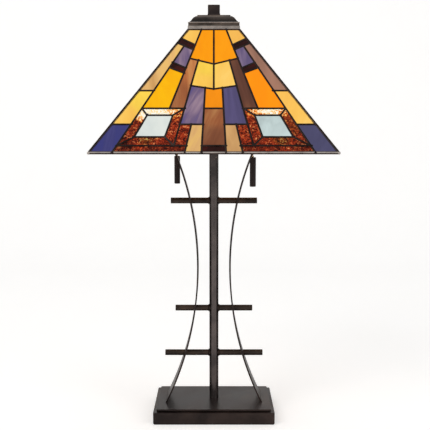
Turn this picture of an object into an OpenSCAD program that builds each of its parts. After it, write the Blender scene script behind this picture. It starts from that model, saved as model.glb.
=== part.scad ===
// Table lamp with a square stained glass shade, two pull-chain bulbs and a slim bar frame.
// Millimetres, +Z up. The origin is the centre of the base's underside; +Y is the back.

/* [Base] */
// Width of the lower casing
base_w = 224; // [190:1:280]
// Depth of the lower casing
base_d = 150; // [125:1:190]
// Height of the lower casing
casing_h = 20.7; // [17:0.1:32]
// Wall of the lower casing
casing_wall = 2; // [1.5:0.1:3]
// Inset of the top plate on each side
plate_inset = 6; // [3:0.5:12]
// Thickness of the top plate
plate_t = 3.5; // [2:0.1:6]
// Height of the shadow groove under the top plate
groove_h = 1.3; // [0.6:0.1:3]
// Depth of the shadow groove
groove_in = 2.5; // [1:0.1:5]
// Corner radius of both plates, seen from above
corner_r = 2.5; // [1:0.1:6]
// Thickness of the felt pad
felt_t = 1.5; // [1:0.1:3]
// Bore of the cord bushing
cord_bore_r = 3.6; // [2.8:0.1:4.2]

/* [Column] */
// Outer radius of the column tube
column_r = 8.7; // [7:0.1:12]
// Wall of the column tube
column_wall = 1.6; // [1:0.1:1.9]
// Length of the column tube
column_h = 483; // [380:1:620]
// Outer radius of the threaded rod and the riser
rod_r = 5; // [4:0.1:5]
// Bore radius of the threaded rod and the riser
rod_bore_r = 3.3; // [2.5:0.1:3.4]

/* [Crossbars and strips] */
// Radius of the crossbars
bar_r = 5.6; // [3:0.1:7]
// Height of the upper, middle and lower bars above the base
bar_z = [381, 176, 89];
// Reach of the upper, middle and lower bars from the column's axis
bar_reach = [81, 73, 93];
// Thickness of the bowed strips
strip_t = 2.8; // [1.5:0.1:4]
// Depth of the bowed strips at their foot, front to back
strip_foot_d = 60; // [30:1:90]
// Depth of the bowed strips at their top
strip_top_d = 14; // [13:1:30]
// Radius of the strips' bow
strip_bow_r = 575; // [520:1:700]
// Distance from the column's axis to the strips at their waist
strip_waist = 30.3; // [24:0.1:45]
// Height of the waist above the base
strip_waist_z = 255; // [200:1:300]
// How far the strips end below the column's top
strip_short = 4; // [2:1:40]

/* [Lights] */
// Turn of the two sockets away from the lamp's width
light_turn = 32.5; // [0:0.5:45]
// Distance from the axis to the pull chains
pull_reach = 84; // [76:0.5:90]
// Height of the bulbs' axis above the shade's lower edge
light_up = 32.4; // [28:0.1:45]
// Outer radius of the socket shells
shell_r = 17; // [16.5:0.1:19]
// Radius of the round bulbs
bulb_r = 24; // [20:0.5:25]
// Length of the pull knobs
knob_h = 53.5; // [30:0.5:70]
// Radius of the pull knobs
knob_r = 5.6; // [4:0.1:7]
// Free chain between the spout and the knob
chain_free = 13; // [13:0.5:30]
// Travel of the pull chains
pull_travel = 12; // [6:1:12]

/* [Shade] */
// Width of the shade at its lower edge
shade_w = 406.4; // [340:0.2:500]
// Width of the shade at its top
shade_top_w = 93.6; // [80:0.2:120]
// Height of the glass faces
shade_rise = 214.6; // [190:0.1:280]
// Thickness of the lead cames
lead_t = 3.2; // [3:0.1:6]
// Width of the lead cames
lead_w = 3; // [2.4:0.1:4]
// Thickness of the glass
glass_t = 2.6; // [2:0.1:2.8]
// Radius of the round cames on the four corners
hip_r = 1.2; // [1:0.1:3]
// Height of the bottom rim
rim_h = 2; // [1.5:0.1:6]
// Radius of the solder beads at the rim's corners
nub_r = 2.2; // [1.6:0.1:4]

/* [Cap and finial] */
// Height of the collar between the glass and the cap
collar_h = 6.5; // [4:0.1:10]
// Height of the cap's straight rim
cap_rim_h = 6.2; // [4:0.1:10]
// Height of the cap's flared shoulder
cap_flare_h = 12.4; // [10:0.1:20]
// Half-width of the cap at its shoulder
cap_top_half = 34; // [28:0.5:40]
// Half-width of the low tier under the finial
tier_half = 30; // [18:0.5:31]
// Height of the low tier
tier_h = 2.5; // [1:0.1:6]
// Thickness of the cap's sheet
cap_wall = 1.4; // [1:0.1:2]
// Width of the finial at its top
finial_w = 22; // [17:0.1:26]
// Height of the finial
finial_h = 21.2; // [14:0.1:30]

/* [Hidden] */

$fn = 64;
gap = 0.1;            // between pieces that meet but are made apart
turn_gap = 0.3;       // round a piece that turns or slides
far = 1000;           // longer than anything it cuts

bronze = "#2b2322";
steel = "#8d8d90";
brass = "#b08d4a";
lead_colour = "#3a322e";

// Heights of the stack, from the floor up
casing_top = felt_t + casing_h;
base_top = casing_top + groove_h + plate_t;
column_top = base_top + column_h;
ring_h = 11;
cluster_z = column_top + ring_h;
cluster_h = 28;
cluster_r = 23;
cluster_wall = 1.6;
cover_h = 3;
light_z = cluster_z + cluster_h / 2 + 1;
shade_z = light_z - light_up;
shade_top = shade_z + shade_rise;
cap_z = shade_top + gap + collar_h;
cap_top = cap_z + cap_rim_h + cap_flare_h;
finial_z = cap_top + tier_h + gap;
seat_z = cap_top - cap_wall - gap;
riser_top = finial_z + finial_h - 4;

// Nuts and washers on the rod
nut_r = 9;
nut_h = 5;
washer_h = 2;
washer_r = 15;
recess_r = washer_r + 2;
weight_gap = 3;

// Sockets, measured along their own axis from the lamp's axis
arm_in = cluster_r - 6;
cap_start = pull_reach - 38;
cap_len = 16;
shell_start = cap_start + 10;
shell_end = shell_start + 48;
shell_wall = 0.8;
sleeve_wall = 0.6;
block_end = shell_start + 20;
screw_r = 13;
screw_gap = 0.4;
screw_wall = 0.7;
bulb_foot = block_end + 3.6;
bulb_neck = shell_end - 0.4;
bulb_d = bulb_neck + bulb_r + 2.4;
bulb_wall = 0.8;
spout_r = 4;
spout_bore_r = 2.5;
spout_h = pull_travel + 4.2;
spout_top = light_z - shell_r + shell_wall - gap;
bead_r = 1.6;
bead_step = 4.4;
wire_r = 0.5;
knob_top = spout_top - spout_h - chain_free;
hinge_down = 3;       // the knob hangs from the last bead, this far below its top
chain_top = spout_top - 3.4;

// Shade faces
half_w = shade_w / 2;
half_top = shade_top_w / 2;
run = half_w - half_top;
slope = atan2(shade_rise, run);
slant = norm([run, shade_rise]);
hip_lean = atan2(run * sqrt(2), shade_rise);
hip_len = norm([run * sqrt(2), shade_rise]);
hip_sink = 0.9;
hip_trim = 5;
// Half the angle that two neighbouring faces' normals make
hip_half = acos(cos(slope) * cos(slope)) / 2;
panel_edge = hip_sink * sin(hip_half) + hip_r + gap;
edge_lead = 0.4;
// The outer panes stop short of the mitre at their own depth
pane_edge = max(panel_edge + edge_lead, (lead_t + glass_t) / 2 * tan(hip_half) + gap);

// Fan lines of the pattern: share of the lower half-width, share of the upper half-width
centre_line = [0, 0];
rib_line = [0.098, 0.199];
spray_line = [0.231, 0];
heart_line = [0.333, 0.258];
fan_line = [0.492, 0.471];
wing_line = [0.808, 0.709];
edge_line = [1, 1];
// Rows of the pattern, as shares of the slope: at the fan line, then at the outer or inner end
row_foot = 0.048;
row_frame = 0.21;
row_mid = 0.335;
row_wing = 0.477;
bar_top_in = 0.864;
bar_top_out = 0.924;
bar_low_in = 0.821;
bar_low_out = 0.882;
band_top_in = 0.665;
band_top_out = 0.712;
band_low_in = 0.622;
band_low_out = 0.667;
crown_fan = 0.747;
crown_centre = 0.698;
heart_side = 0.518;
heart_centre = 0.49;
// Corners of the jewel inside its frame: shares across and up the frame's field
jewel_in = 0.213;
jewel_out = 0.783;
jewel_low = 0.114;
jewel_high = 0.281;

// ---- Pattern geometry -------------------------------------------------------------------

function mix(a, b, k) = a + (b - a) * k;
function across(line, t) = mix(line[0] * half_w, line[1] * half_top, t);
function at(line, t) = [across(line, t), t * slant];

// Where the line through a and b meets the line through c and d
function meet(a, b, c, d) =
    let (p = b - a, q = d - c, k = cross(c - a, q) / cross(p, q)) a + p * k;

// A convex outline moved inwards by d on every side; corners run counter-clockwise
function inset(pts, d) =
    let (n = len(pts),
        side = [for (i = [0:n - 1])
            let (v = pts[(i + 1) % n] - pts[i], w = [-v[1], v[0]] / norm(v) * d)
            [pts[i] + w, pts[(i + 1) % n] + w]])
    [for (i = [0:n - 1])
        let (a = side[(i + n - 1) % n], b = side[i]) meet(a[0], a[1], b[0], b[1])];

function foot(line) = at(line, 0);
function head(line) = at(line, 1);
function on(line, a, b) = meet(foot(line), head(line), a, b);

// The side of the face, drawn in so that an edge pane clears the corner came
edge_in = (pane_edge - lead_w / 2) / sin(atan2(slant, run));
function rim_at(t) = at(edge_line, t) - [edge_in, 0];

bar_a = [at(fan_line, bar_top_in), at(edge_line, bar_top_out)];
bar_b = [at(fan_line, bar_low_in), at(edge_line, bar_low_out)];
band_a = [at(fan_line, band_top_in), at(wing_line, band_top_out)];
band_b = [at(fan_line, band_low_in), at(wing_line, band_low_out)];
crown = [at(centre_line, crown_centre), at(fan_line, crown_fan)];
heart = [at(centre_line, heart_centre), at(heart_line, heart_side)];
function on_rim(a, b) = meet(rim_at(0), rim_at(1), a, b);

// The jewel's corners: low inner, low outer, high outer, high inner
function in_field(k, t) = [mix(across(heart_line, t), across(wing_line, t), k), t * slant];
jewel_pts = [in_field(jewel_in, jewel_low), in_field(jewel_out, jewel_low),
    in_field(jewel_out, jewel_high), in_field(jewel_in, jewel_high)];
frame_pts = [at(heart_line, row_foot), at(wing_line, row_foot),
    at(wing_line, row_mid), at(heart_line, row_mid)];

// Panes of the right half of a face, by glass
cream_panes = [
    [bar_a[0], on_rim(bar_a[0], bar_a[1]), rim_at(1), head(fan_line)],
    [at(wing_line, row_frame), rim_at(row_frame), rim_at(row_wing), at(wing_line, row_wing)],
    [heart[0], heart[1], on(heart_line, crown[0], crown[1]), crown[0]]];
orange_panes = [[crown[0], crown[1], head(fan_line), head(centre_line)]];
amber_panes = [[at(fan_line, row_mid), at(wing_line, row_mid), band_b[1], band_b[0]]];
tan_panes = [
    [at(wing_line, row_wing), rim_at(row_wing), on_rim(bar_b[0], bar_b[1]),
        on(wing_line, bar_b[0], bar_b[1])],
    [foot(rib_line), foot(spray_line), at(spray_line, row_frame), at(rib_line, row_frame)]];
brown_panes = [
    [at(heart_line, row_mid), at(fan_line, row_mid), crown[1], on(heart_line, crown[0], crown[1])]];
violet_panes = [
    [at(rib_line, row_frame), at(heart_line, row_frame), heart[1], on(rib_line, heart[0], heart[1])],
    [band_a[0], band_a[1], on(wing_line, bar_b[0], bar_b[1]), bar_b[0]]];
blue_panes = [[foot(wing_line), rim_at(0), rim_at(row_frame), at(wing_line, row_frame)]];
dark_panes = [
    [bar_b[0], on_rim(bar_b[0], bar_b[1]), on_rim(bar_a[0], bar_a[1]), bar_a[0]],
    [band_b[0], band_b[1], band_a[1], band_a[0]]];
ripple_panes = concat(
    [for (i = [0:3]) [frame_pts[i], frame_pts[(i + 1) % 4], jewel_pts[(i + 1) % 4], jewel_pts[i]]],
    [[at(spray_line, row_foot), at(heart_line, row_foot), at(heart_line, row_frame),
        at(spray_line, row_frame)],
    [foot(spray_line), foot(wing_line), at(wing_line, row_foot), at(spray_line, row_foot)]]);
jewel_panes = [jewel_pts];

// Panes that lie across the centre line, from their right-hand corners
function whole(right) =
    concat(right, [for (i = [len(right) - 1:-1:0]) if (right[i][0] > 0) [-right[i][0], right[i][1]]]);
orange_middle = whole([heart[0], on(rib_line, heart[0], heart[1]), at(rib_line, row_mid)]);
brown_middle = whole([at(rib_line, row_foot), at(rib_line, row_mid)]);
dark_middle = whole([foot(rib_line), at(rib_line, row_foot)]);

all_panes = concat(cream_panes, orange_panes, amber_panes, tan_panes, brown_panes, violet_panes,
    blue_panes, dark_panes, ripple_panes, jewel_panes);

// ---- Shared shapes ----------------------------------------------------------------------

module tube(r, bore, h) {
    difference() {
        cylinder(r = r, h = h);
        translate([0, 0, -1]) cylinder(r = bore, h = h + 2);
    }
}

module slab(w, d, h, r) {
    linear_extrude(h) {
        square([w - 2 * r, d], center = true);
        square([w, d - 2 * r], center = true);
        for (x = [-1, 1], y = [-1, 1])
            translate([x * (w / 2 - r), y * (d / 2 - r)]) circle(r);
    }
}

module hex_nut(z) {
    translate([0, 0, z]) difference() {
        cylinder(r = nut_r, h = nut_h, $fn = 6);
        translate([0, 0, -1]) cylinder(r = rod_r + gap, h = nut_h + 2);
    }
}

// A square-plan solid whose four sides follow one half profile, given as [half-width, height]
module square_turn(profile) {
    outline = concat(profile, [for (i = [len(profile) - 1:-1:0]) [-profile[i][0], profile[i][1]]]);
    intersection() {
        rotate([90, 0, 0]) linear_extrude(far, center = true) polygon(outline);
        rotate([90, 0, 90]) linear_extrude(far, center = true) polygon(outline);
    }
}

// Puts a piece on the axis of the right (1) or left (-1) socket; its own Z points outwards
module on_light(side) {
    rotate([0, 0, -light_turn + (side > 0 ? 0 : 180)])
        translate([0, 0, light_z]) rotate([0, 90, 0]) children();
}

// Puts a piece over the right (1) or left (-1) pull chain
module on_pull(side) {
    rotate([0, 0, -light_turn + (side > 0 ? 0 : 180)]) translate([pull_reach, 0, 0]) children();
}

// ---- Base -------------------------------------------------------------------------------

module felt_pad() {
    color("#1d1b1a") slab(base_w - 2, base_d - 2, felt_t, corner_r);
}

bushing_z = felt_t + casing_h / 2;
bushing_r = cord_bore_r + 1.4;

module base_casing() {
    color(bronze) difference() {
        translate([0, 0, felt_t]) slab(base_w, base_d, casing_h, corner_r);
        translate([0, 0, felt_t - 1])
            slab(base_w - 2 * casing_wall, base_d - 2 * casing_wall,
                casing_h - casing_wall + 1, corner_r / 2);
        cylinder(r = rod_r + gap, h = far);
        translate([0, 0, bushing_z]) rotate([-90, 0, 0]) cylinder(r = bushing_r + gap, h = far);
    }
}

weight_top = casing_top - casing_wall - gap;
recess_h = nut_h + washer_h + 1;

module base_weight() {
    color("#55504c") difference() {
        translate([0, 0, felt_t + gap])
            slab(base_w - 2 * (casing_wall + weight_gap), base_d - 2 * (casing_wall + weight_gap),
                weight_top - felt_t - gap, 3);
        translate([0, 0, felt_t]) cylinder(r = recess_r, h = recess_h);
        cylinder(r = rod_r + gap, h = far);
        // Channel for the cord, from the recess to the back
        translate([-bushing_r - 1, 0, felt_t])
            cube([2 * bushing_r + 2, far, bushing_z + bushing_r - felt_t + 1]);
    }
}

module base_top_plate() {
    color(bronze) difference() {
        union() {
            translate([0, 0, casing_top])
                slab(base_w - 2 * (plate_inset + groove_in), base_d - 2 * (plate_inset + groove_in),
                    groove_h + 1, corner_r);
            translate([0, 0, casing_top + groove_h])
                slab(base_w - 2 * plate_inset, base_d - 2 * plate_inset, plate_t, corner_r);
        }
        cylinder(r = rod_r + gap, h = far);
    }
}

washer_z = felt_t + recess_h - washer_h - gap;

module base_washer() {
    color(steel) translate([0, 0, washer_z]) tube(washer_r, rod_r + gap, washer_h);
}

module base_nut() {
    color(steel) hex_nut(washer_z - nut_h - gap / 2);
}

module cord_bushing() {
    inside = casing_wall + 2.5;
    flange = 2;
    color("#151413") translate([0, base_d / 2, bushing_z]) rotate([-90, 0, 0]) {
        translate([0, 0, gap / 2]) tube(bushing_r + 2, cord_bore_r, flange);
        translate([0, 0, -inside]) tube(bushing_r, cord_bore_r, inside + flange);
    }
}

// ---- Column and frame -------------------------------------------------------------------

module threaded_rod() {
    z = washer_z - nut_h - 0.5;
    color(steel) translate([0, 0, z]) tube(rod_r, rod_bore_r, cluster_z + cluster_wall + nut_h + 1.5 - z);
}

module column_tube() {
    color(bronze) translate([0, 0, base_top]) tube(column_r, column_r - column_wall, column_h);
}

module column_ring() {
    color(bronze) translate([0, 0, column_top]) difference() {
        union() {
            cylinder(r = column_r + 3, h = 4);
            translate([0, 0, 4]) cylinder(r1 = column_r + 3, r2 = cluster_r - 8, h = ring_h - 4);
        }
        translate([0, 0, -1]) cylinder(r = rod_r + gap, h = ring_h + 2);
    }
}

module crossbar(i) {
    color("#3a2d26") for (side = [-1, 1]) difference() {
        translate([0, 0, base_top + bar_z[i]]) rotate([0, 90 * side, 0])
            cylinder(r = bar_r, h = bar_reach[i]);
        translate([0, 0, base_top]) cylinder(r = column_r + gap, h = column_h);
    }
}

module strip(side) {
    top = column_top - strip_short;
    blank = max(strip_foot_d, strip_top_d) + 10;
    color(bronze) difference() {
        intersection() {
            translate([side * (strip_waist + strip_bow_r), 0, base_top + strip_waist_z]) rotate([90, 0, 0])
                difference() {
                    cylinder(r = strip_bow_r + strip_t / 2, h = blank, center = true, $fn = 256);
                    cylinder(r = strip_bow_r - strip_t / 2, h = blank + 2, center = true, $fn = 256);
                }
            translate([side > 0 ? 0 : -half_w, 0, 0]) rotate([90, 0, 90]) linear_extrude(half_w)
                polygon([[-strip_foot_d / 2, base_top], [strip_foot_d / 2, base_top],
                    [strip_top_d / 2, top], [-strip_top_d / 2, top]]);
        }
        for (z = bar_z) translate([0, 0, base_top + z]) rotate([0, 90 * side, 0])
            cylinder(r = bar_r + gap, h = far);
    }
}

// A small fillet of weld round each bar where it meets the column
module weld_beads() {
    leg = 2;
    color(bronze) for (z = bar_z, side = [-1, 1])
        translate([0, 0, base_top + z]) rotate([0, 90 * side, 0]) translate([0, 0, column_r + gap])
            difference() {
                cylinder(r1 = bar_r + leg, r2 = bar_r + leg / 4, h = leg);
                translate([0, 0, -1]) cylinder(r = bar_r + gap / 2, h = leg + 2);
            }
}

// ---- Lights -----------------------------------------------------------------------------

module cluster_body() {
    color(bronze) difference() {
        translate([0, 0, cluster_z]) cylinder(r = cluster_r, h = cluster_h);
        translate([0, 0, cluster_z + cluster_wall]) cylinder(r = cluster_r - cluster_wall, h = cluster_h);
        cylinder(r = rod_r + gap, h = far);
        for (side = [-1, 1]) on_light(side) cylinder(r = rod_r + gap, h = cluster_r + 1);
    }
}

module cluster_cover() {
    z = cluster_z + cluster_h;
    color(bronze) difference() {
        union() {
            translate([0, 0, z]) cylinder(r = cluster_r + 0.6, h = cover_h);
            translate([0, 0, z - 1.5]) cylinder(r = cluster_r - cluster_wall - gap, h = 2);
        }
        cylinder(r = rod_r + gap, h = far);
    }
}

module arm(side) {
    color(steel) on_light(side) translate([0, 0, arm_in]) tube(rod_r, rod_bore_r, cap_start + 6 - arm_in);
}

riser_z = cluster_z + cluster_h - 1.5 - nut_h - gap;

module riser_tube() {
    color(bronze) translate([0, 0, riser_z]) tube(rod_r, rod_bore_r, riser_top - riser_z);
}

// Nuts in the cluster and the one that carries the shade's seat
module lock_nuts() {
    color(steel) {
        hex_nut(cluster_z + cluster_wall + gap / 2);
        hex_nut(riser_z + gap / 2);
        hex_nut(seat_z - washer_h - nut_h - gap / 2);
    }
}

module seat_washer() {
    color(steel) translate([0, 0, seat_z - washer_h]) tube(washer_r, rod_r + gap, washer_h);
}

module socket_cap(side) {
    skirt_r = shell_r + 1;
    color(brass) on_light(side) translate([0, 0, cap_start]) difference() {
        union() {
            cylinder(r1 = rod_r + 3, r2 = skirt_r, h = 8);
            translate([0, 0, 8]) cylinder(r = skirt_r, h = cap_len - 8);
        }
        translate([0, 0, 1.2]) cylinder(r1 = rod_r + 2.2, r2 = shell_r + gap, h = 8);
        translate([0, 0, 9]) cylinder(r = shell_r + gap, h = cap_len);
        translate([0, 0, -1]) cylinder(r = rod_r + gap, h = 4);
    }
}

module socket_shell(side) {
    color(brass) difference() {
        on_light(side) {
            translate([0, 0, shell_start]) tube(shell_r, shell_r - shell_wall, shell_end - shell_start);
            translate([0, 0, shell_end - 2]) tube(shell_r + 0.8, shell_r - shell_wall, 2);
        }
        on_pull(side) translate([0, 0, spout_top - spout_h]) cylinder(r = spout_r + gap, h = spout_h + 3);
    }
}

module insulator_sleeves() {
    color("#8a6a3c") for (side = [-1, 1]) on_light(side) translate([0, 0, shell_start + 2])
        tube(shell_r - shell_wall - 3 * gap, shell_r - shell_wall - 3 * gap - sleeve_wall,
            shell_end - shell_start - 3);
}

module switch_blocks() {
    r = shell_r - shell_wall - sleeve_wall - 5 * gap;
    color("#1b1917") for (side = [-1, 1]) on_light(side) translate([0, 0, shell_start + 2])
        tube(r, 2.5, block_end - shell_start - 2);
}

module screw_shells() {
    back = 1.2;
    color(brass) for (side = [-1, 1]) on_light(side) translate([0, 0, block_end + gap]) {
        tube(screw_r + screw_gap + screw_wall, screw_r + screw_gap, shell_end - 1.5 - block_end);
        tube(screw_r + screw_gap + screw_wall, 5, back);
    }
}

module spout(side) {
    lip = 1.2;
    color(brass) on_pull(side) translate([0, 0, spout_top - spout_h]) difference() {
        union() {
            cylinder(r = spout_r, h = spout_h);
            cylinder(r1 = spout_r + lip, r2 = spout_r, h = 3);
        }
        translate([0, 0, -1]) cylinder(r = spout_bore_r, h = spout_h + 2);
    }
}

module bulb_glass(side) {
    neck_r = screw_r + 0.4;
    reach = 14;       // the neck's cone meets the globe this far behind its middle
    ring_r = sqrt(bulb_r * bulb_r - reach * reach);
    inner_r = bulb_r - bulb_wall;
    neck_h = bulb_d - reach - bulb_neck;
    color("#fff6dc") on_light(side) difference() {
        union() {
            translate([0, 0, bulb_d]) sphere(bulb_r, $fn = 96);
            translate([0, 0, bulb_neck]) cylinder(r1 = neck_r, r2 = ring_r, h = neck_h);
        }
        translate([0, 0, bulb_d]) sphere(inner_r, $fn = 96);
        translate([0, 0, bulb_neck - gap])
            cylinder(r1 = neck_r - bulb_wall, r2 = ring_r - bulb_wall, h = neck_h + gap);
    }
}

module bulb_base(side) {
    ridge = 0.7;
    pitch = 3.6;
    length = bulb_neck - gap - bulb_foot;
    color(steel) on_light(side) translate([0, 0, bulb_foot]) {
        cylinder(r = screw_r - ridge, h = length);
        for (i = [1:5]) translate([0, 0, i * pitch]) rotate_extrude()
            translate([screw_r - ridge - 0.3, 0]) circle(ridge + 0.3, $fn = 24);
        translate([0, 0, -2]) cylinder(r1 = 4, r2 = screw_r - 3, h = 2);
    }
}

module chain(side) {
    last = knob_top - hinge_down;
    beads = floor((chain_top - last) / bead_step);
    color(brass) on_pull(side) {
        for (i = [0:beads]) translate([0, 0, last + i * bead_step]) sphere(bead_r, $fn = 24);
        translate([0, 0, last]) cylinder(r = wire_r, h = beads * bead_step, $fn = 16);
    }
}

module knob(side) {
    ease = 0.9;
    seat = bead_r + 0.4;
    neck = bead_r - 0.3;
    color(bronze) on_pull(side) translate([0, 0, knob_top - knob_h]) difference() {
        union() {
            cylinder(r1 = knob_r - ease, r2 = knob_r, h = ease);
            translate([0, 0, ease]) cylinder(r = knob_r, h = knob_h - 2 * ease);
            translate([0, 0, knob_h - ease]) cylinder(r1 = knob_r, r2 = knob_r - ease, h = ease);
        }
        translate([0, 0, knob_h - hinge_down]) {
            sphere(seat, $fn = 32);
            cylinder(r = neck, h = hinge_down);
            translate([0, 0, seat - 0.4]) cylinder(r1 = neck, r2 = neck + 1.5, h = hinge_down - seat + 0.5);
        }
    }
}

// ---- Shade ------------------------------------------------------------------------------

// Puts a flat piece on face k: its X runs along the rim, its Y up the slope, its Z outwards
module on_face(k) {
    rotate([0, 0, 90 * k]) translate([0, -half_w, shade_z]) rotate([slope, 0, 0]) children();
}

module pane_shapes(panes, d) {
    for (pane = panes, m = [0, 1]) mirror([m, 0]) polygon(inset(pane, d));
}

module panel_outline() {
    cut = panel_edge / sin(atan2(slant, run));
    polygon([[-half_w + cut, 0], [half_w - cut, 0], [half_top - cut, slant], [-half_top + cut, slant]]);
}

middle_panes = [orange_middle, brown_middle, dark_middle];

// The space that belongs to face k, cut off at the mitres with its neighbours
module face_wedge(k) {
    rotate([0, 0, 90 * k]) linear_extrude(far)
        polygon([[0, -gap], [far, -far - gap], [-far, -far - gap]]);
}

module leading(k) {
    color(lead_colour) intersection() {
        on_face(k) translate([0, 0, -lead_t]) linear_extrude(lead_t) difference() {
            panel_outline();
            pane_shapes(all_panes, lead_w / 2);
            for (pane = middle_panes) polygon(inset(ordered(pane), lead_w / 2));
        }
        face_wedge(k);
    }
}

// A whole outline starts at the middle, so its corners are turned round when they run clockwise
function area(p) =
    let (n = len(p)) [for (i = [0:n - 1]) cross(p[i], p[(i + 1) % n])] * [for (i = [0:n - 1]) 1];
function ordered(p) = area(p) > 0 ? p : [for (i = [len(p) - 1:-1:0]) p[i]];

module glass(tint, panes, middle = []) {
    lift = (lead_t - glass_t) / 2;
    color(tint) for (k = [0:3]) on_face(k) translate([0, 0, lift - lead_t]) linear_extrude(glass_t) {
        pane_shapes(panes, lead_w / 2 + gap / 2);
        for (pane = middle) polygon(inset(ordered(pane), lead_w / 2 + gap / 2));
    }
}

module hip_cames() {
    color(lead_colour) for (k = [0:3]) rotate([0, 0, 45 + 90 * k])
        translate([half_w * sqrt(2), 0, shade_z]) rotate([0, -hip_lean, 0])
            translate([-hip_sink, 0, hip_trim]) cylinder(r = hip_r, h = hip_len - 2 * hip_trim);
}

rim_top = shade_z - lead_t * cos(slope) - gap / 2;
rim_wide = 6;

module square_ring(half, inner, h) {
    difference() {
        translate([-half, -half, 0]) cube([2 * half, 2 * half, h]);
        translate([-inner, -inner, -1]) cube([2 * inner, 2 * inner, h + 2]);
    }
}

module bottom_rim() {
    color(lead_colour) translate([0, 0, rim_top - rim_h]) {
        square_ring(half_w + 0.4, half_w - rim_wide, rim_h);
        for (x = [-1, 1], y = [-1, 1])
            translate([x * half_w, y * half_w, rim_h / 2]) sphere(nub_r, $fn = 32);
    }
}

module top_collar() {
    color("#6f6a66") translate([0, 0, shade_top + gap / 2])
        square_ring(half_top - 0.4, half_top - 8, collar_h + gap / 2);
}

// Curve of the cap's shoulder: share of the way in, share of the way up
cap_curve = [[0.1, 0.02], [0.22, 0.13], [0.4, 0.3], [0.53, 0.5], [0.67, 0.7], [0.8, 0.87]];

// The cap's outside, from its lower edge to its shoulder, as [half-width, height]
function cap_side(d) =
    let (low = half_top - 1 - d, top = cap_top_half - d, h0 = cap_rim_h, h1 = cap_rim_h + cap_flare_h - d)
    concat([[low, 0], [low, h0]],
        [for (k = cap_curve) [mix(low, top, k[0]), mix(h0, h1 - 1.2, k[1])]],
        [[top, h1 - 1.2], [top - 1.2, h1]]);

module shade_cap() {
    color(bronze) translate([0, 0, cap_z]) difference() {
        union() {
            square_turn(cap_side(0));
            translate([-tier_half, -tier_half, cap_rim_h + cap_flare_h - 1])
                cube([2 * tier_half, 2 * tier_half, tier_h + 1]);
        }
        translate([0, 0, -0.01]) square_turn(concat([[half_top - 1 - cap_wall, -1]], cap_side(cap_wall)));
        cylinder(r = rod_r + turn_gap + 0.2, h = far);
    }
}

insert_r = rod_r + turn_gap + 1;
insert_h = finial_h - 3;

module finial_block() {
    flare = 0.8;
    color(bronze) translate([0, 0, finial_z]) difference() {
        square_turn([[finial_w / 2 + flare, 0], [finial_w / 2 + flare, 2], [finial_w / 2, 6],
            [finial_w / 2, finial_h - 1], [finial_w / 2 - 1, finial_h]]);
        translate([0, 0, -1]) cylinder(r = insert_r + gap, h = insert_h + gap + 1);
    }
}

module finial_insert() {
    color(brass) translate([0, 0, finial_z + gap]) tube(insert_r, rod_r + turn_gap, insert_h - gap);
}

// ---- Nodes ------------------------------------------------------------------------------

felt_pad();
base_casing();
base_weight();
base_top_plate();
base_nut();
base_washer();
cord_bushing();
threaded_rod();
column_tube();
column_ring();
crossbar(0);  // upper_crossbar
crossbar(1);  // middle_crossbar
crossbar(2);  // lower_crossbar
strip(-1);  // left_strip
strip(1);  // right_strip
weld_beads();
cluster_body();
cluster_cover();
arm(-1);  // left_arm
arm(1);  // right_arm
riser_tube();
lock_nuts();
seat_washer();
socket_cap(-1);  // left_socket_cap
socket_cap(1);  // right_socket_cap
socket_shell(-1);  // left_socket_shell
socket_shell(1);  // right_socket_shell
insulator_sleeves();
switch_blocks();
screw_shells();
spout(-1);  // left_spout
spout(1);  // right_spout
bulb_glass(-1);  // left_bulb_glass
bulb_glass(1);  // right_bulb_glass
bulb_base(-1);  // left_bulb_base
bulb_base(1);  // right_bulb_base
chain(-1);  // left_chain
chain(1);  // right_chain
knob(-1);  // left_knob
knob(1);  // right_knob
shade_cap();
top_collar();
bottom_rim();
hip_cames();
leading(0);  // front_leading
leading(1);  // right_leading
leading(2);  // back_leading
leading(3);  // left_leading
glass("#f6c36c", cream_panes);  // cream_glass
glass("#fa9a10", orange_panes, [orange_middle]);  // orange_glass
glass("#fdb004", amber_panes);  // amber_glass
glass("#d5ad68", tan_panes);  // tan_glass
glass("#7a5a3a", brown_panes, [brown_middle]);  // brown_glass
glass("#6e6390", violet_panes);  // violet_glass
glass("#2a2e90", blue_panes);  // blue_glass
glass("#2a0a08", dark_panes, [dark_middle]);  // dark_glass
glass("#8e2a10", ripple_panes);  // ripple_glass
glass("#cfe0e0", jewel_panes);  // jewel_glass
finial_block();
finial_insert();
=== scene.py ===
import math
import random

import bmesh
import bpy
from mathutils import Matrix, Vector, noise


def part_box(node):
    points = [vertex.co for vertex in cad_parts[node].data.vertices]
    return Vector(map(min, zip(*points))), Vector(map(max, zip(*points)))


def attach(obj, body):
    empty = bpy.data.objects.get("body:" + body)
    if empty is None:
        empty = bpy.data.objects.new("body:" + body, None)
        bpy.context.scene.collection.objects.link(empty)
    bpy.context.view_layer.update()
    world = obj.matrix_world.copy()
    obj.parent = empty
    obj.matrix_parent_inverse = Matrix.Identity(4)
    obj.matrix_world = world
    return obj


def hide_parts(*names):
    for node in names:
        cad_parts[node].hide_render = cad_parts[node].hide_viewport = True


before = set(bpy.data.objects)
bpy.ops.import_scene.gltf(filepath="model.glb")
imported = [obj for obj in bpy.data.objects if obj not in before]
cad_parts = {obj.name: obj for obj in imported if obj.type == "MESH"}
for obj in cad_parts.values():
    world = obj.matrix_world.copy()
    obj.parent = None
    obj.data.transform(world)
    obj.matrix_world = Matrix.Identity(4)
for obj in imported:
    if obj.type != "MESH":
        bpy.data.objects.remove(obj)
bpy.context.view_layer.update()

scene = bpy.context.scene
mm = 0.001
faceCount = 4         # the shade has four equal faces
print("frame loaded:", len(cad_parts), "nodes")


def hexColour(code):
    parts = [int(code[i:i + 2], 16) / 255 for i in (0, 2, 4)]
    linear = [c / 12.92 if c <= 0.04045 else ((c + 0.055) / 1.055) ** 2.4 for c in parts]
    return (*linear, 1.0)


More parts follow.
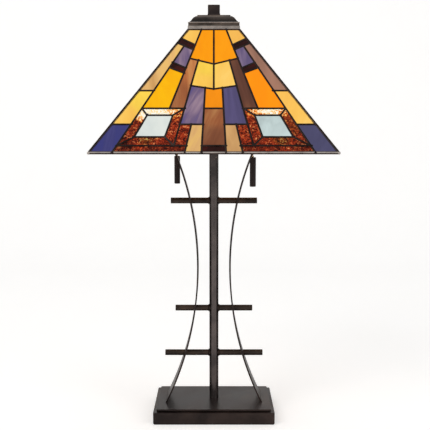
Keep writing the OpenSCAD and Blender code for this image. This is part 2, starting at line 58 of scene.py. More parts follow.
# In all of these, a tree is a node group's or a material's
def addNode(tree, kind, **settings):
    node = tree.nodes.new(kind)
    for key, value in settings.items():
        if key in node.inputs:
            node.inputs[key].default_value = value
        else:
            setattr(node, key, value)
    return node


def wire(tree, source, target):
    tree.links.new(source, target)


def startGroup(name, inputs, outputs):
    group = bpy.data.node_groups.new(name, "ShaderNodeTree")
    for label, kind, value in inputs:
        socket = group.interface.new_socket(name=label, in_out="INPUT", socket_type="NodeSocket" + kind)
        if value is not None:
            socket.default_value = value
    for label, kind in outputs:
        group.interface.new_socket(name=label, in_out="OUTPUT", socket_type="NodeSocket" + kind)
    return group, group.nodes.new("NodeGroupInput"), group.nodes.new("NodeGroupOutput")


def maths(tree, operation, first, second=None, clamp=False):
    node = tree.nodes.new("ShaderNodeMath")
    node.operation = operation
    node.use_clamp = clamp
    for socket, value in zip(node.inputs, (first, second)):
        if value is None:
            continue
        if isinstance(value, (int, float)):
            socket.default_value = value
        else:
            wire(tree, value, socket)
    return node.outputs[0]


def blendColours(tree, factor, first, second, mode="MIX"):
    node = tree.nodes.new("ShaderNodeMix")
    node.data_type = "RGBA"
    node.blend_type = mode
    node.clamp_factor = True
    for socket, value in ((node.inputs["Factor"], factor), (node.inputs[6], first), (node.inputs[7], second)):
        if isinstance(value, (int, float, tuple)):
            socket.default_value = value
        else:
            wire(tree, value, socket)
    return node.outputs[2]


def rangeOf(tree, value, low, high, outLow, outHigh):
    node = addNode(tree, "ShaderNodeMapRange", clamp=True)
    wire(tree, value, node.inputs["Value"])
    for key, number in (("From Min", low), ("From Max", high), ("To Min", outLow), ("To Max", outHigh)):
        node.inputs[key].default_value = number
    return node.outputs["Result"]


# Swirled colour of opalescent sheet glass, from each pane's own glassCoord
def makeStreakGroup():
    group, inner, outer = startGroup(
        "glassStreaks",
        [("Deep", "Color", (0.1, 0.1, 0.1, 1)), ("Body", "Color", (0.5, 0.5, 0.5, 1)),
         ("Pale", "Color", (0.9, 0.9, 0.9, 1)), ("Scale", "Float", 30.0), ("Stretch", "Float", 0.25),
         ("Swirl", "Float", 0.6), ("Contrast", "Float", 1.0)],
        [("Colour", "Color"), ("Height", "Float"), ("Mask", "Float")])
    coord = addNode(group, "ShaderNodeAttribute", attribute_name="glassCoord")
    apart = group.nodes.new("ShaderNodeSeparateXYZ")
    wire(group, coord.outputs["Vector"], apart.inputs[0])
    along = maths(group, "MULTIPLY", apart.outputs["Y"], inner.outputs["Stretch"])
    joined = group.nodes.new("ShaderNodeCombineXYZ")
    wire(group, apart.outputs["X"], joined.inputs["X"])
    wire(group, along, joined.inputs["Y"])
    wire(group, apart.outputs["Z"], joined.inputs["Z"])
    broad = addNode(group, "ShaderNodeTexNoise", Detail=3.0, Roughness=0.55)
    wire(group, joined.outputs[0], broad.inputs["Vector"])
    wire(group, inner.outputs["Scale"], broad.inputs["Scale"])
    wire(group, inner.outputs["Swirl"], broad.inputs["Distortion"])
    fine = addNode(group, "ShaderNodeTexNoise", Detail=4.0, Roughness=0.65, Distortion=0.8)
    wire(group, joined.outputs[0], fine.inputs["Vector"])
    wire(group, maths(group, "MULTIPLY", inner.outputs["Scale"], 4.3), fine.inputs["Scale"])
    spread = maths(group, "SUBTRACT", broad.outputs["Fac"], 0.5)
    spread = maths(group, "MULTIPLY", spread, inner.outputs["Contrast"])
    wisps = maths(group, "MULTIPLY", maths(group, "SUBTRACT", fine.outputs["Fac"], 0.5), 0.35)
    level = maths(group, "ADD", maths(group, "ADD", spread, wisps), 0.5, clamp=True)
    low = rangeOf(group, level, 0.18, 0.5, 0.0, 1.0)
    high = rangeOf(group, level, 0.5, 0.85, 0.0, 1.0)
    colour = blendColours(group, low, inner.outputs["Deep"], inner.outputs["Body"])
    colour = blendColours(group, high, colour, inner.outputs["Pale"])
    wire(group, colour, outer.inputs["Colour"])
    wire(group, maths(group, "ADD", broad.outputs["Fac"], wisps), outer.inputs["Height"])
    wire(group, level, outer.inputs["Mask"])
    return group


# Splits a glass colour into what the surface shows and what the bulbs push through it
def makeLitGroup():
    group, inner, outer = startGroup(
        "litFromInside",
        [("Colour", "Color", (0.8, 0.5, 0.2, 1)), ("Surface", "Float", 0.2), ("Light", "Float", 0.8),
         ("Hot", "Float", 0.5)],
        [("Base", "Color"), ("Emission", "Color")])
    glow = addNode(group, "ShaderNodeAttribute", attribute_name="bulbGlow")
    light = maths(group, "MULTIPLY", glow.outputs["Fac"], inner.outputs["Hot"])
    light = maths(group, "ADD", light, inner.outputs["Light"])
    for factor, name in ((inner.outputs["Surface"], "Base"), (light, "Emission")):
        scaled = group.nodes.new("ShaderNodeVectorMath")
        scaled.operation = "SCALE"
        wire(group, inner.outputs["Colour"], scaled.inputs[0])
        wire(group, factor, scaled.inputs["Scale"])
        wire(group, scaled.outputs[0], outer.inputs[name])
    return group


# Moves a pane's colour towards a second one by its own tone, streak by streak
def makeToneGroup():
    group, inner, outer = startGroup(
        "paneTones",
        [("Colour", "Color", (0.8, 0.5, 0.2, 1)), ("Other", "Color", (0.5, 0.3, 0.1, 1)),
         ("Mask", "Float", 0.5)],
        [("Colour", "Color")])
    tone = addNode(group, "ShaderNodeAttribute", attribute_name="paneTone")
    shade = rangeOf(group, inner.outputs["Mask"], 0.15, 0.85, 0.72, 1.25)
    other = group.nodes.new("ShaderNodeVectorMath")
    other.operation = "SCALE"
    wire(group, inner.outputs["Other"], other.inputs[0])
    wire(group, shade, other.inputs["Scale"])
    wire(group, blendColours(group, tone.outputs["Fac"], inner.outputs["Colour"], other.outputs[0]),
         outer.inputs["Colour"])
    return group


# Hammered red glass: fine grains with painted glints of pale colour, which burn white where a bulb is behind
def makeGrainGroup():
    group, inner, outer = startGroup(
        "rippleGrains",
        [("Dull", "Color", (0.1, 0.02, 0.01, 1)), ("Bright", "Color", (0.4, 0.1, 0.03, 1)),
         ("Spark", "Color", (0.9, 0.7, 0.4, 1)), ("Scale", "Float", 320.0)],
        [("Colour", "Color"), ("Height", "Float")])
    coord = addNode(group, "ShaderNodeAttribute", attribute_name="glassCoord")
    glow = addNode(group, "ShaderNodeAttribute", attribute_name="bulbGlow")
    tone = addNode(group, "ShaderNodeAttribute", attribute_name="paneTone")
    grain = addNode(group, "ShaderNodeTexNoise", Detail=3.0, Roughness=0.6, Distortion=1.2)
    wire(group, coord.outputs["Vector"], grain.inputs["Vector"])
    wire(group, inner.outputs["Scale"], grain.inputs["Scale"])
    broad = addNode(group, "ShaderNodeTexNoise", Detail=2.0, Roughness=0.5)
    wire(group, coord.outputs["Vector"], broad.inputs["Vector"])
    wire(group, maths(group, "MULTIPLY", inner.outputs["Scale"], 0.2), broad.inputs["Scale"])
    level = rangeOf(group, grain.outputs["Fac"], 0.4, 0.62, 0.0, 1.0)
    base = blendColours(group, level, inner.outputs["Dull"], inner.outputs["Bright"])
    # Painted glints: pale specks mixed into the grains' colour
    paintedGlint = rangeOf(group, grain.outputs["Fac"], 0.58, 0.68, 0.0, 1.0)
    paintedGlint = maths(group, "MULTIPLY", paintedGlint, rangeOf(group, broad.outputs["Fac"], 0.4, 0.6, 0.25, 1.0))
    base = blendColours(group, maths(group, "MULTIPLY", paintedGlint, 0.75), base, inner.outputs["Spark"])
    golden = group.nodes.new("ShaderNodeVectorMath")
    golden.operation = "MULTIPLY"
    wire(group, base, golden.inputs[0])
    golden.inputs[1].default_value = (0.6, 1.5, 1.0)
    golding = rangeOf(group, tone.outputs["Fac"], 0.0, 1.0, 0.0, 1.0)
    base = blendColours(group, golding, base, golden.outputs[0])
    dimmed = group.nodes.new("ShaderNodeVectorMath")
    dimmed.operation = "SCALE"
    wire(group, base, dimmed.inputs[0])
    wire(group, rangeOf(group, tone.outputs["Fac"], -1.0, 0.0, 0.35, 1.0), dimmed.inputs["Scale"])
    base = dimmed.outputs[0]
    heat = maths(group, "ADD", maths(group, "MULTIPLY", glow.outputs["Fac"], 1.02),
                 maths(group, "MULTIPLY", maths(group, "SUBTRACT", level, 0.5), 0.75))
    heat = maths(group, "MULTIPLY", heat, rangeOf(group, glow.outputs["Fac"], 0.02, 0.25, 0.0, 1.0), clamp=True)
    ramp = addNode(group, "ShaderNodeValToRGB")
    stops = ((0.0, (0.10, 0.008, 0.003, 1)), (0.22, (0.45, 0.04, 0.005, 1)), (0.42, (0.95, 0.22, 0.012, 1)),
             (0.6, (1.0, 0.58, 0.12, 1)), (0.8, (1.0, 0.86, 0.5, 1)), (1.0, (1.0, 0.98, 0.9, 1)))
    while len(ramp.color_ramp.elements) < len(stops):
        ramp.color_ramp.elements.new(0.5)
    for element, (place, colour) in zip(ramp.color_ramp.elements, stops):
        element.position = place
        element.color = colour
    wire(group, heat, ramp.inputs["Fac"])
    mixing = rangeOf(group, glow.outputs["Fac"], 0.03, 0.3, 0.0, 1.0)
    wire(group, blendColours(group, mixing, base, ramp.outputs["Color"]), outer.inputs["Colour"])
    wire(group, grain.outputs["Fac"], outer.inputs["Height"])
    return group


# Bronze paint over metal: cloudy tone, rubbed high spots, fine speckle
def makePatinaGroup():
    group, inner, outer = startGroup(
        "patina",
        [("Dark", "Color", (0.02, 0.015, 0.012, 1)), ("Warm", "Color", (0.06, 0.04, 0.03, 1)),
         ("Rubbed", "Color", (0.2, 0.13, 0.08, 1)), ("Scale", "Float", 12.0), ("Rub", "Float", 0.25),
         ("Rough", "Float", 0.38)],
        [("Colour", "Color"), ("Roughness", "Float"), ("Height", "Float")])
    coord = group.nodes.new("ShaderNodeTexCoord")
    cloud = addNode(group, "ShaderNodeTexNoise", Detail=5.0, Roughness=0.6, Distortion=0.4)
    wire(group, coord.outputs["Object"], cloud.inputs["Vector"])
    wire(group, inner.outputs["Scale"], cloud.inputs["Scale"])
    speck = addNode(group, "ShaderNodeTexNoise", Detail=2.0, Roughness=0.5)
    wire(group, coord.outputs["Object"], speck.inputs["Vector"])
    wire(group, maths(group, "MULTIPLY", inner.outputs["Scale"], 60.0), speck.inputs["Scale"])
    colour = blendColours(group, rangeOf(group, cloud.outputs["Fac"], 0.35, 0.7, 0.0, 1.0),
                          inner.outputs["Dark"], inner.outputs["Warm"])
    geometry = group.nodes.new("ShaderNodeNewGeometry")
    edge = rangeOf(group, geometry.outputs["Pointiness"], 0.505, 0.56, 0.0, 1.0)
    patchy = rangeOf(group, cloud.outputs["Fac"], 0.4, 0.62, 0.25, 1.0)
    worn = maths(group, "MULTIPLY", maths(group, "MULTIPLY", edge, patchy), inner.outputs["Rub"], clamp=True)
    colour = blendColours(group, worn, colour, inner.outputs["Rubbed"])
    wire(group, colour, outer.inputs["Colour"])
    rough = maths(group, "ADD", inner.outputs["Rough"],
                  rangeOf(group, cloud.outputs["Fac"], 0.3, 0.7, -0.06, 0.1))
    rough = maths(group, "SUBTRACT", rough, maths(group, "MULTIPLY", worn, 0.12))
    wire(group, rough, outer.inputs["Roughness"])
    wire(group, maths(group, "ADD", maths(group, "MULTIPLY", speck.outputs["Fac"], 0.6), cloud.outputs["Fac"]),
         outer.inputs["Height"])
    return group


groups = {"streaks": makeStreakGroup(), "lit": makeLitGroup(), "tones": makeToneGroup(),
          "grains": makeGrainGroup(), "patina": makePatinaGroup()}


def placeGroup(tree, name, **values):
    node = tree.nodes.new("ShaderNodeGroup")
    node.node_tree = groups[name]
    for key, value in values.items():
        node.inputs[key].default_value = value
    return node


def startMaterial(name, **values):
    material = bpy.data.materials.new(name)
    material.use_nodes = True
    tree = material.node_tree
    shader = tree.nodes["Principled BSDF"]
    for key, value in values.items():
        shader.inputs[key].default_value = value
    return material, tree, shader


def addBump(tree, shader, height, strength, distance):
    bump = addNode(tree, "ShaderNodeBump", Strength=strength, Distance=distance)
    wire(tree, height, bump.inputs["Height"])
    wire(tree, bump.outputs["Normal"], shader.inputs["Normal"])


# What each glass looks like: its colours, a second colour some panes lean to, how it streaks, how wavy its
# surface is, how the light comes through
glassKinds = {
    "cream": {"deep": "eeb052", "body": "f8c158", "pale": "fdd67c", "other": "fad24c", "scale": 16,
              "stretch": 0.3, "swirl": 0.5, "contrast": 1.0, "light": 0.92, "hot": 0.04, "relief": 0.18},
    "orange": {"deep": "ee8604", "body": "fb9a02", "pale": "ffac0c", "other": "f6900a", "scale": 14,
               "stretch": 0.3, "swirl": 0.5, "contrast": 0.9, "light": 0.92, "hot": 0.04, "relief": 0.18},
    "amber": {"deep": "f4a402", "body": "fcbe02", "pale": "ffd034", "other": "f88c06", "scale": 14,
              "stretch": 0.3, "swirl": 0.6, "contrast": 1.0, "light": 0.92, "hot": 0.08, "relief": 0.2},
    "tan": {"deep": "c8965a", "body": "e4b470", "pale": "f6cc64", "other": "9e7360", "scale": 20,
            "stretch": 0.22, "swirl": 0.9, "contrast": 1.5, "light": 0.92, "hot": 0.02, "relief": 0.2},
    "brown": {"deep": "8e4a28", "body": "b46a3c", "pale": "d7995c", "other": "5d3a2e", "scale": 34,
              "stretch": 0.12, "swirl": 1.1, "contrast": 1.7, "light": 0.92, "hot": 0.05, "relief": 0.25},
    "violet": {"deep": "58508a", "body": "74607f", "pale": "a58a98", "other": "585078", "scale": 26,
               "stretch": 0.14, "swirl": 1.2, "contrast": 2.0, "light": 0.88, "hot": 0.02, "relief": 0.22},
    "blue": {"deep": "28328c", "body": "3b3b74", "pale": "585490", "other": "4c4a6a", "scale": 22,
             "stretch": 0.2, "swirl": 0.8, "contrast": 1.2, "light": 0.92, "hot": 0.02, "relief": 0.2},
    "dark": {"deep": "180604", "body": "2e0e0b", "pale": "54180f", "other": "220a08", "scale": 40,
             "stretch": 0.3, "swirl": 1.2, "contrast": 1.3, "light": 0.92, "hot": 0.02, "relief": 0.3},
    "ripple": {"dull": "2e0804", "bright": "c03a12", "paintedGlint": "ffc880", "scale": 250, "light": 0.9,
               "hot": 0.0, "relief": 0.7},
    "jewel": {"deep": "d4dcd8", "body": "e0e6e0", "pale": "eef0ea", "other": "c2d2d1", "scale": 20,
              "stretch": 0.6, "swirl": 0.8, "contrast": 1.1, "light": 0.88, "hot": 0.0, "relief": 0.15},
}


def makeGlass(kind):
    look = glassKinds[kind]
    material, tree, shader = startMaterial(kind + "Glass", Roughness=0.2, Metallic=0.0)
    shader.inputs["IOR"].default_value = 1.5
    shader.inputs["Specular IOR Level"].default_value = 0.13
    shader.inputs["Transmission Weight"].default_value = 0.0
    shader.inputs["Emission Strength"].default_value = 1.0
    lit = placeGroup(tree, "lit", Surface=0.11, Light=look["light"], Hot=look["hot"])
    if kind == "ripple":
        grains = placeGroup(tree, "grains", Dull=hexColour(look["dull"]), Bright=hexColour(look["bright"]),
                            Spark=hexColour(look["paintedGlint"]), Scale=float(look["scale"]))
        wire(tree, grains.outputs["Colour"], lit.inputs["Colour"])
        height = grains.outputs["Height"]
        wire(tree, rangeOf(tree, height, 0.3, 0.7, 0.16, 0.3), shader.inputs["Roughness"])
    else:
        streaks = placeGroup(tree, "streaks", Deep=hexColour(look["deep"]), Body=hexColour(look["body"]),
                             Pale=hexColour(look["pale"]), Scale=float(look["scale"]), Stretch=look["stretch"],
                             Swirl=look["swirl"], Contrast=look["contrast"])
        tones = placeGroup(tree, "tones", Other=hexColour(look["other"]))
        wire(tree, streaks.outputs["Colour"], tones.inputs["Colour"])
        wire(tree, streaks.outputs["Mask"], tones.inputs["Mask"])
        wire(tree, tones.outputs["Colour"], lit.inputs["Colour"])
        wire(tree, rangeOf(tree, streaks.outputs["Mask"], 0.2, 0.8, 0.14, 0.26), shader.inputs["Roughness"])
        height = streaks.outputs["Height"]
    wire(tree, lit.outputs["Base"], shader.inputs["Base Color"])
    wire(tree, lit.outputs["Emission"], shader.inputs["Emission Color"])
    addBump(tree, shader, height, 0.25, 0.4 * mm)
    return material


# Metals and other finishes that share the patina group
finishes = {
    "bronze": {"dark": "1b1313", "warm": "302424", "rubbed": "5c4c42", "scale": 14.0, "rub": 0.45,
               "rough": 0.34, "metallic": 0.6, "bump": 0.10},
    "barBronze": {"dark": "1a1614", "warm": "332924", "rubbed": "6a5444", "scale": 30.0, "rub": 0.5,
                  "rough": 0.36, "metallic": 0.6, "bump": 0.14},
    "collarBronze": {"dark": "5c5652", "warm": "8a837d", "rubbed": "cfc6be", "scale": 24.0, "rub": 0.6,
                     "rough": 0.32, "metallic": 0.8, "bump": 0.1},
    "solder": {"dark": "0d0605", "warm": "1f1210", "rubbed": "5c4a42", "scale": 60.0, "rub": 0.4,
               "rough": 0.34, "metallic": 0.35, "bump": 0.3, "shine": 0.2},
    # Light metal used only for painted highlight lines on the rim strip, the cap's edge bead and the collar's
    # ribs
    "paintedHighlightMetal": {"dark": "968c86", "warm": "c4bab2", "rubbed": "d2c8c0", "scale": 40.0, "rub": 0.4,
                 "rough": 0.3, "metallic": 0.6, "bump": 0.15},
    # A lighter, more metallic copy of the bronze for the column: painted sheen of the round tube
    "columnBronzePaintedSheen": {"dark": "3e3a3b", "warm": "605b5c", "rubbed": "8a7c74", "scale": 14.0, "rub": 0.4,
                     "rough": 0.24, "metallic": 0.9, "bump": 0.06},
    "capBronze": {"dark": "0c0807", "warm": "1f1715", "rubbed": "8c7c70", "scale": 20.0, "rub": 0.7,
                  "rough": 0.26, "metallic": 0.45, "bump": 0.06, "shine": 0.3},
    "steel": {"dark": "77787c", "warm": "9a9a9c", "rubbed": "c8c8ca", "scale": 40.0, "rub": 0.4,
              "rough": 0.32, "metallic": 0.95, "bump": 0.1},
    "brass": {"dark": "7d5f2c", "warm": "a8823f", "rubbed": "d8b66a", "scale": 40.0, "rub": 0.5, "rough": 0.3,
              "metallic": 0.95, "bump": 0.08},
    "castCement": {"dark": "3a3632", "warm": "565049", "rubbed": "7a7268", "scale": 50.0, "rub": 0.4,
                 "rough": 0.7, "metallic": 0.3, "bump": 0.5},
    "blackPlastic": {"dark": "0c0b0a", "warm": "191716", "rubbed": "3a3632", "scale": 40.0, "rub": 0.4,
                     "rough": 0.42, "metallic": 0.0, "bump": 0.1},
    "waxedCard": {"dark": "6b4e2a", "warm": "8f6c3c", "rubbed": "b08b56", "scale": 90.0, "rub": 0.3,
                  "rough": 0.7, "metallic": 0.0, "bump": 0.3},
}


def makeFinish(name):
    look = finishes[name]
    material, tree, shader = startMaterial(name, Metallic=look["metallic"])
    patina = placeGroup(tree, "patina", Dark=hexColour(look["dark"]), Warm=hexColour(look["warm"]),
                        Rubbed=hexColour(look["rubbed"]), Scale=look["scale"], Rub=look["rub"],
                        Rough=look["rough"])
    wire(tree, patina.outputs["Colour"], shader.inputs["Base Color"])
    wire(tree, patina.outputs["Roughness"], shader.inputs["Roughness"])
    shader.inputs["Specular IOR Level"].default_value = look.get("shine", 0.5)
    addBump(tree, shader, patina.outputs["Height"], look["bump"], 0.25 * mm)
    return material


def makeFelt():
    material, tree, shader = startMaterial("darkFelt", Roughness=0.95)
    shader.inputs["Sheen Weight"].default_value = 0.4
    coord = tree.nodes.new("ShaderNodeTexCoord")
    fibres = addNode(tree, "ShaderNodeTexNoise", Scale=900.0, Detail=4.0, Roughness=0.7, Distortion=1.5)
    wire(tree, coord.outputs["Object"], fibres.inputs["Vector"])
    colour = blendColours(tree, rangeOf(tree, fibres.outputs["Fac"], 0.3, 0.7, 0.0, 1.0),
                          hexColour("171513"), hexColour("2c2825"))
    wire(tree, colour, shader.inputs["Base Color"])
    addBump(tree, shader, fibres.outputs["Fac"], 0.6, 0.4 * mm)
    return material


def makeFrosted():
    material, tree, shader = startMaterial("frostedBulb", Roughness=0.35)
    shader.inputs["Emission Strength"].default_value = 1.0
    coord = tree.nodes.new("ShaderNodeTexCoord")
    frost = addNode(tree, "ShaderNodeTexNoise", Scale=60.0, Detail=3.0)
    wire(tree, coord.outputs["Object"], frost.inputs["Vector"])
    mask = rangeOf(tree, frost.outputs["Fac"], 0.3, 0.7, 0.0, 1.0)
    wire(tree, blendColours(tree, mask, hexColour("f7ecd2"), hexColour("fff8e8")), shader.inputs["Base Color"])
    warmth = blendColours(tree, mask, (0.95, 0.78, 0.5, 1), (1.0, 0.88, 0.66, 1))
    wire(tree, warmth, shader.inputs["Emission Color"])
    wire(tree, rangeOf(tree, frost.outputs["Fac"], 0.3, 0.7, 0.3, 0.45), shader.inputs["Roughness"])
    return material


glassMaterials = {kind: makeGlass(kind) for kind in glassKinds}
metal = {name: makeFinish(name) for name in finishes}
feltMaterial = makeFelt()
bulbMaterial = makeFrosted()
print("materials made:", len(bpy.data.materials))


smoothAngle = math.radians(32)


def finishPiece(name, mesh, material, body, replaced=()):
    piece = bpy.data.objects.new(name, mesh)
    scene.collection.objects.link(piece)
    mesh.materials.clear()
    mesh.materials.append(material)
    mesh.shade_smooth()
    mesh.set_sharp_from_angle(angle=smoothAngle)
    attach(piece, body)
    if replaced:
        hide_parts(*replaced)
    return piece


def meshFrom(name, points, faces):
    mesh = bpy.data.meshes.new(name)
    mesh.from_pydata([tuple(p) for p in points], [], faces)
    mesh.update()
    return mesh


def cleanCopy(nodeName):
    bm = bmesh.new()
    bm.from_mesh(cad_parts[nodeName].data)
    bmesh.ops.remove_doubles(bm, verts=bm.verts, dist=0.002 * mm)
    bmesh.ops.dissolve_limit(bm, angle_limit=math.radians(0.6), verts=bm.verts, edges=bm.edges)
    return bm


# A CAD solid with its sharp edges eased, which stands for its node
def easedCopy(name, nodeNames, width, material, body, sharp=30):
    joined = bmesh.new()
    for nodeName in nodeNames:
        bm = cleanCopy(nodeName)
        edges = [e for e in bm.edges if len(e.link_faces) == 2 and e.calc_face_angle(0) > math.radians(sharp)]
        bmesh.ops.bevel(bm, geom=edges, offset=width, segments=3, profile=0.5, affect="EDGES",
                        clamp_overlap=True)
        part = bpy.data.meshes.new("part")
        bm.to_mesh(part)
        bm.free()
        joined.from_mesh(part)
        bpy.data.meshes.remove(part)
    bmesh.ops.recalc_face_normals(joined, faces=joined.faces)
    mesh = bpy.data.meshes.new(name)
    joined.to_mesh(mesh)
    joined.free()
    piece = finishPiece(name, mesh, material, body, nodeNames)
    level = piece.modifiers.new("evenShading", "WEIGHTED_NORMAL")
    level.keep_sharp = True
    level.weight = 100
    return piece


def faceOutwards(mesh):
    bm = bmesh.new()
    bm.from_mesh(mesh)
    bmesh.ops.recalc_face_normals(bm, faces=bm.faces)
    bm.to_mesh(mesh)
    bm.free()


def assign(material, *nodeNames):
    for nodeName in nodeNames:
        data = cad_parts[nodeName].data
        data.materials.clear()
        data.materials.append(material)


# Rings of points, one above the other, skinned into a closed solid
class Skin:
    def __init__(self):
        self.points = []
        self.faces = []

    def addRings(self, rings, closed=False):
        count = len(rings[0])
        start = len(self.points)
        for ring in rings:
            self.points.extend(ring)
        pairs = [(i, i + 1) for i in range(len(rings) - 1)]
        if closed:
            pairs.append((len(rings) - 1, 0))
        for low, high in pairs:
            for j in range(count):
                a, b = start + low * count + j, start + low * count + (j + 1) % count
                c, d = start + high * count + (j + 1) % count, start + high * count + j
                self.faces.append((a, b, c, d))
        if not closed:
            self.faces.append(tuple(start + j for j in reversed(range(count))))
            self.faces.append(tuple(start + (len(rings) - 1) * count + j for j in range(count)))

    def mesh(self, name):
        made = meshFrom(name, self.points, self.faces)
        faceOutwards(made)
        return made


def ringAround(centre, axis, radius, count):
    axis = Vector(axis).normalized()
    side = axis.orthogonal().normalized()
    other = axis.cross(side)
    angles = [math.tau * i / count for i in range(count)]
    return [centre + side * (radius * math.cos(a)) + other * (radius * math.sin(a)) for a in angles]


def readFacePlane():
    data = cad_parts["front_leading"].data
    outward = [p for p in data.polygons if p.normal.y < -0.5 and p.normal.z > 0.2]
    widest = max(outward, key=lambda p: p.area)
    normal = Vector((0, widest.normal.y, widest.normal.z)).normalized()
    up = Vector((0, normal.z, -normal.y))
    depth = max(normal.dot(v.co) for v in data.vertices)
    outer = [v.co for v in data.vertices if normal.dot(v.co) > depth - 0.1 * mm]
    low = min(up.dot(co) for co in outer)
    high = max(up.dot(co) for co in outer)
    lower = [co for co in outer if up.dot(co) < low + 0.1 * mm]
    upper = [co for co in outer if up.dot(co) > high - 0.1 * mm]
    return {"normal": normal, "up": up, "origin": normal * depth + up * low, "slant": high - low,
            "lowHalf": max(co.x for co in lower), "highHalf": max(co.x for co in upper)}


face = readFacePlane()
leadDepth = face["origin"].dot(face["normal"]) - min(
    face["normal"].dot(v.co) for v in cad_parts["front_leading"].data.vertices)


def turned(k):
    return Matrix.Rotation(k * math.tau / faceCount, 4, "Z")


def onFace(u, s, h, k):
    point = face["origin"] + Vector((u, 0, 0)) + face["up"] * s + face["normal"] * h
    return turned(k) @ point


def toFace(point, k):
    local = turned(-k) @ point - face["origin"]
    return local.x, local.dot(face["up"]), local.dot(face["normal"])


bulbs = [(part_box(node)[0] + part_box(node)[1]) / 2 for node in ("left_bulb_glass", "right_bulb_glass")]
glowReach = 82 * mm     # how far a bulb's bright patch spreads on the glass
glowStrength = 3.0


def glowAt(point):
    return sum(math.exp(-((point - bulb).length / glowReach) ** 2) for bulb in bulbs) * glowStrength


def islandsOf(bm):
    left = set(bm.verts)
    while left:
        seed = left.pop()
        group, queue = [seed], [seed]
        while queue:
            for edge in queue.pop().link_edges:
                for vert in edge.verts:
                    if vert in left:
                        left.discard(vert)
                        group.append(vert)
                        queue.append(vert)
        yield group


# The outlines of a glass node's panes, as face number, corners on the face, and depth
def readPanes(nodeName):
    bm = bmesh.new()
    bm.from_mesh(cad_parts[nodeName].data)
    bmesh.ops.remove_doubles(bm, verts=bm.verts, dist=0.002 * mm)
    bm.verts.index_update()
    panes = []
    for group in islandsOf(bm):
        centre = sum((v.co for v in group), Vector()) / len(group)
        k = round(math.atan2(centre.x, -centre.y) / (math.tau / faceCount)) % faceCount
        outward = turned(k) @ face["normal"]
        faces = {f for v in group for f in v.link_faces if f.normal.dot(outward) > 0.9}
        following = {}
        for f in faces:
            for loop in f.loops:
                if sum(g in faces for g in loop.edge.link_faces) == 1:
                    following[loop.vert] = loop.link_loop_next.vert
        start = min(following, key=lambda v: (round(toFace(v.co, k)[1], 5), round(toFace(v.co, k)[0], 5)))
        corners, vert = [], start
        while True:
            corners.append(toFace(vert.co, k))
            vert = following[vert]
            if vert is start:
                break
        top = corners[0][2]
        bottom = min(toFace(v.co, k)[2] for v in group)
        panes.append({"k": k, "corners": [(u, s) for u, s, _ in corners], "top": top, "bottom": bottom})
    bm.free()
    panes.sort(key=lambda p: (p["k"], round(p["corners"][0][1], 4), round(p["corners"][0][0], 4)))
    return panes


def edgeDistance(u, s, corners):
    least = 1.0
    for i, (au, av) in enumerate(corners):
        bu, bv = corners[(i + 1) % len(corners)]
        du, dv = bu - au, bv - av
        along = max(0.0, min(1.0, ((u - au) * du + (s - av) * dv) / (du * du + dv * dv)))
        least = min(least, math.hypot(u - au - along * du, s - av - along * dv))
    return least


# Grid size of each pane's surface, how its rim drops to tuck under the lead, how its streaks lean, its waves,
# and how far the side and back panes' tones may differ from the front's
paneBuild = {"coarse": 6 * mm, "fine": 1.5 * mm, "tuck": 0.5 * mm, "tuckWidth": 1.6 * mm, "lean": 0.35,
             "waveSize": 18 * mm, "rippleSize": 4.5 * mm, "rippleLevel": 0.1, "shift": 0.3}


# Bright patches where the bulbs shine through the ripple glass: across and up the face, their two spreads
# in mm, and strength
rippleSpots = [(-91, 83, 24, 13, 1.0), (-118, 80, 12, 12, 0.7), (91, 84, 22, 10, 0.95)]


def rippleGlow(u, s):
    share = sum(strength * math.exp(-0.5 * (((u / mm - across) / wide) ** 2 + ((s / mm - up) / tall) ** 2))
                for across, up, wide, tall, strength in rippleSpots)
    return min(share, 1.0)


# How far a pane leans to its kind's second colour, as (across in mm, share of the way up, tone)
paneTones = {
    "cream": [(-122, 0.41, 0.9), (-146, 0.27, 0.1), (-40, 0.95, 0.05), (-15, 0.66, 0.9), (-18, 0.56, 0.3),
              (16, 0.61, 0.1), (40, 0.95, 0.0), (134, 0.34, 0.0)],
    "orange": [(-16, 0.86, 0.0), (16, 0.86, 0.25), (0, 0.43, 1.0)],
    "amber": [(-81, 0.49, 0.1), (81, 0.49, 1.0)],
    "tan": [(-86, 0.67, 0.0), (-30, 0.1, 0.15), (30, 0.1, 0.25), (86, 0.67, 1.0)],
    "brown": [(-37, 0.68, 0.0), (-60, 0.4, 0.35), (0, 0.27, 0.4), (0, 0.12, 0.7), (48, 0.54, 1.0)],
    "violet": [(-52, 0.76, 0.2), (-32, 0.36, 0.1), (32, 0.36, 1.0), (52, 0.76, 0.6)],
    "blue": [(-168, 0.1, 0.1), (168, 0.1, 1.0)],
    "dark": [(-48, 0.87, 0.0), (48, 0.87, 0.8), (-62, 0.67, 0.2), (62, 0.67, 0.6), (0, 0.02, 0.5)],
    "ripple": [(-130, 0.2, 0.1), (-88, 0.31, 0.0), (88, 0.31, 0.0), (130, 0.2, 0.5), (-51, 0.13, 0.0),
               (51, 0.13, 0.1), (-66, 0.19, 0.0), (66, 0.19, 0.1), (-108, 0.08, 0.8), (108, 0.08, 0.9),
               (-143, 0.02, -0.9), (-103, 0.02, -0.9), (-62, 0.02, -0.9), (62, 0.02, -0.8), (103, 0.02, -0.8),
               (143, 0.02, -0.8)],
    "jewel": [(-97, 0.2, 0.0), (97, 0.2, 1.0)],
}


# How the spots' tones blend: how much height counts, how wide a spot is in mm, how fast it fades
toneBlend = {"heightWeight": 200, "spot": 4, "fade": 5}


# The tone at a place on a face; every second face is mirrored
def toneOf(kind, k, u, s):
    across = (-u if k % 2 else u) / mm
    total, weights = 0.0, 0.0
    for spotU, spotShare, tone in paneTones[kind]:
        apart = math.hypot(spotU - across, (spotShare - s / face["slant"]) * toneBlend["heightWeight"])
        weight = 1 / (apart + toneBlend["spot"]) ** toneBlend["fade"]
        total += tone * weight
        weights += weight
    return total / weights


